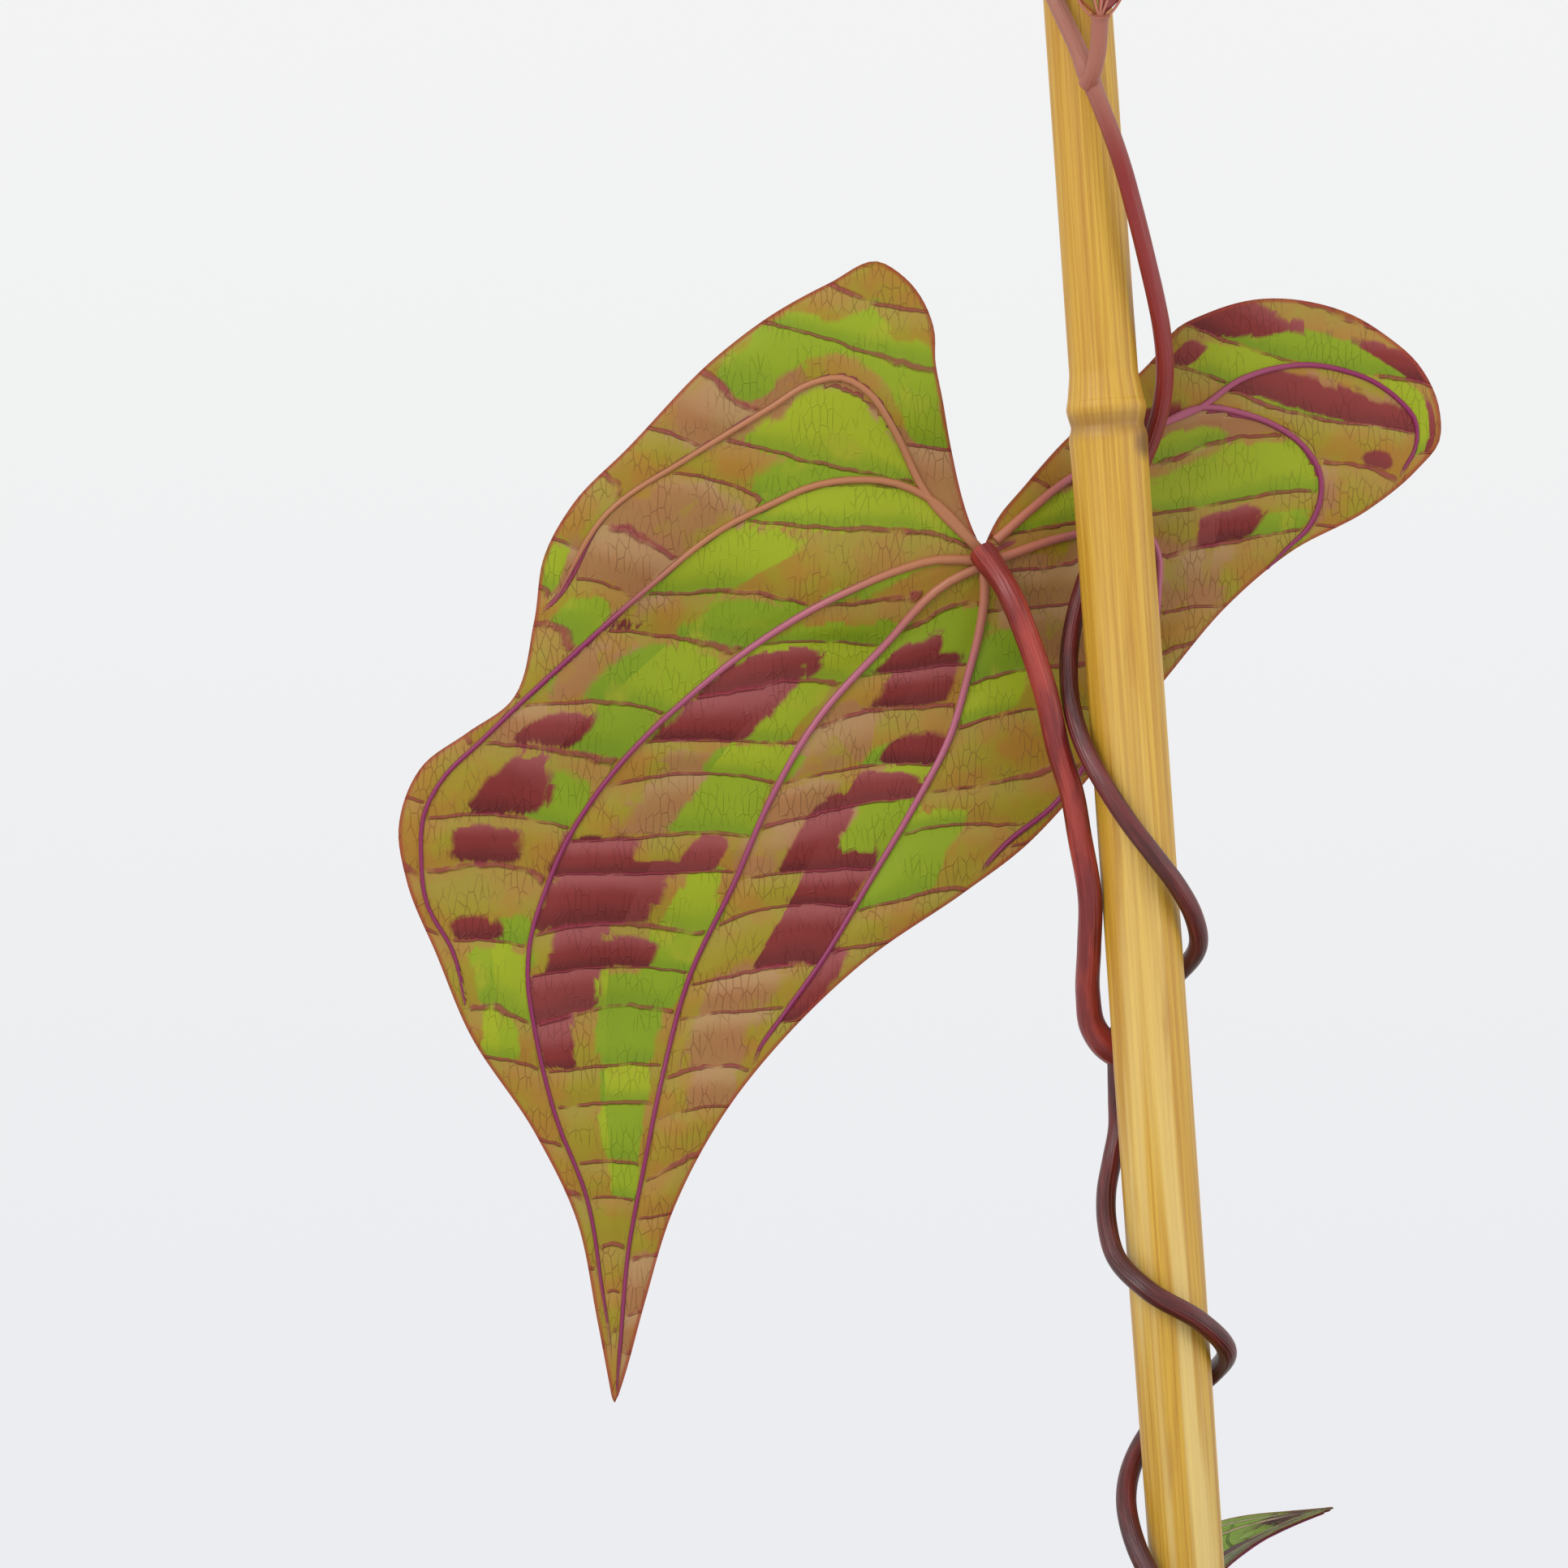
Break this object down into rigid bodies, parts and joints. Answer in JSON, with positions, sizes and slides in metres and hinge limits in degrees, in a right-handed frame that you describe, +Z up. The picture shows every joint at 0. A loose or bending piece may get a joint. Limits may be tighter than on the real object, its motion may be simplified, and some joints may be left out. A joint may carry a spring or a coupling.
{
  "type": "potted ornamental yam",
  "caption": "Twining yam vine with large heart-shaped mottled leaves, climbing a bamboo cane from a tuber in a plain round clay pot",
  "frame": {"origin": "centre of the pot's underside, on the surface it stands on", "axes": "+X to the right and +Y to the back, seen from the side that shows the underside of the largest leaf; +Z up, from the pot's underside to the growing tip"},
  "size_m": [0.1999, 0.1793, 0.4414],
  "materials": {
    "clay": "matte",
    "soil": "matte",
    "tuber_skin": "matte",
    "bamboo": "satin",
    "stem": "satin",
    "leaf_stalk": "satin",
    "leaf": "satin"
  },
  "bodies": {
    "root": {"pot": "clay", "soil": "soil", "tuber": "tuber_skin", "support_cane": "bamboo", "main_stem": "stem", "shoot_tip": "stem", "petiole_1": "leaf_stalk", "petiole_2": "leaf_stalk", "petiole_3": "leaf_stalk", "petiole_4": "leaf_stalk", "petiole_5": "leaf_stalk", "petiole_6": "leaf_stalk", "petiole_7": "leaf_stalk", "petiole_8": "leaf_stalk", "petiole_9": "leaf_stalk", "petiole_10": "leaf_stalk", "leaf_blade_1": "leaf", "leaf_blade_2": "leaf", "leaf_blade_3": "leaf", "leaf_blade_4": "leaf", "leaf_blade_5": "leaf", "leaf_blade_6": "leaf", "leaf_blade_7": "leaf", "leaf_blade_8": "leaf", "leaf_blade_9": "leaf", "leaf_blade_10": "leaf"}
  },
  "joints": []
}
